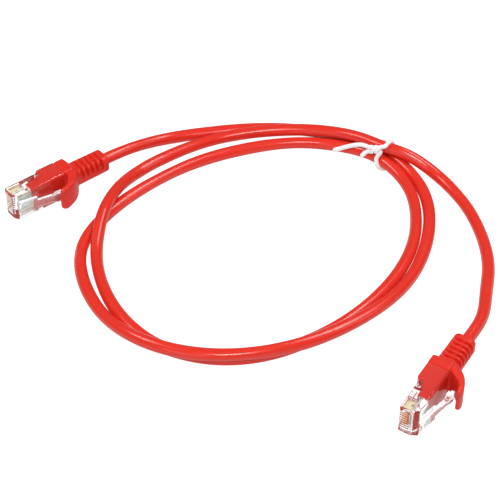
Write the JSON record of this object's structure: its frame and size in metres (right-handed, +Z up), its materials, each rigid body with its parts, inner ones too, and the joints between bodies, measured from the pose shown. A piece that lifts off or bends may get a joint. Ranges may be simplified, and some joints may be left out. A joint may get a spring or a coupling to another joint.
{
  "type": "ethernet patch cable",
  "caption": "Coiled round ethernet patch cable with a clear modular plug, contact blades, sprung latch and hooded ribbed boot at each end, held by a twist tie.",
  "frame": {"origin": "bottom centre of the box round the plugs and the twist tie, with the free cable left out", "axes": "+Z up from the floor that the coil lies on; +X from plug A's side of the coil towards plug B's side; -Y is the side that plug B's nose points to"},
  "size_m": [0.1728, 0.1538, 0.0122],
  "materials": {
    "clear_plastic": "clear polycarbonate, polished",
    "contact_gold": "gold plated",
    "jacket_red": "glossy soft PVC",
    "boot_red": "satin soft moulding",
    "tie_white": "smooth white coating on wire",
    "wire_white_orange": "insulation, in the usual colour order",
    "wire_orange": "insulation, in the usual colour order",
    "wire_white_green": "insulation, in the usual colour order",
    "wire_blue": "insulation, in the usual colour order",
    "wire_white_blue": "insulation, in the usual colour order",
    "wire_green": "insulation, in the usual colour order",
    "wire_white_brown": "insulation, in the usual colour order",
    "wire_brown": "insulation, in the usual colour order"
  },
  "bodies": {
    "cable": {"plug_a_housing": "clear_plastic", "plug_a_strain_relief_bar": "clear_plastic", "plug_a_contact_1": "contact_gold", "plug_a_contact_2": "contact_gold", "plug_a_contact_3": "contact_gold", "plug_a_contact_4": "contact_gold", "plug_a_contact_5": "contact_gold", "plug_a_contact_6": "contact_gold", "plug_a_contact_7": "contact_gold", "plug_a_contact_8": "contact_gold", "plug_a_conductor_1": "wire_white_orange", "plug_a_conductor_2": "wire_orange", "plug_a_conductor_3": "wire_white_green", "plug_a_conductor_4": "wire_blue", "plug_a_conductor_5": "wire_white_blue", "plug_a_conductor_6": "wire_green", "plug_a_conductor_7": "wire_white_brown", "plug_a_conductor_8": "wire_brown", "plug_a_jacket_end": "jacket_red", "plug_a_boot": "boot_red", "plug_b_housing": "clear_plastic", "plug_b_strain_relief_bar": "clear_plastic", "plug_b_contact_1": "contact_gold", "plug_b_contact_2": "contact_gold", "plug_b_contact_3": "contact_gold", "plug_b_contact_4": "contact_gold", "plug_b_contact_5": "contact_gold", "plug_b_contact_6": "contact_gold", "plug_b_contact_7": "contact_gold", "plug_b_contact_8": "contact_gold", "plug_b_conductor_1": "wire_white_orange", "plug_b_conductor_2": "wire_orange", "plug_b_conductor_3": "wire_white_green", "plug_b_conductor_4": "wire_blue", "plug_b_conductor_5": "wire_white_blue", "plug_b_conductor_6": "wire_green", "plug_b_conductor_7": "wire_white_brown", "plug_b_conductor_8": "wire_brown", "plug_b_jacket_end": "jacket_red", "plug_b_boot": "boot_red", "cable_jacket": "jacket_red", "twist_tie": "tie_white"},
    "latch_a": {"plug_a_latch": "clear_plastic"},
    "latch_b": {"plug_b_latch": "clear_plastic"}
  },
  "joints": [
    {"name": "latch_a_press", "type": "hinge", "parent": "cable", "child": "latch_a", "pos_m": [-0.07464, 0.03308, 0.00584], "axis": [0, 0, 1], "range_deg": [0, 10], "stiffness_Nm_per_rad": 0.6},
    {"name": "latch_b_press", "type": "hinge", "parent": "cable", "child": "latch_b", "pos_m": [0.06089, -0.06794, 0.00584], "axis": [0, 0, 1], "range_deg": [0, 10], "stiffness_Nm_per_rad": 0.6}
  ]
}
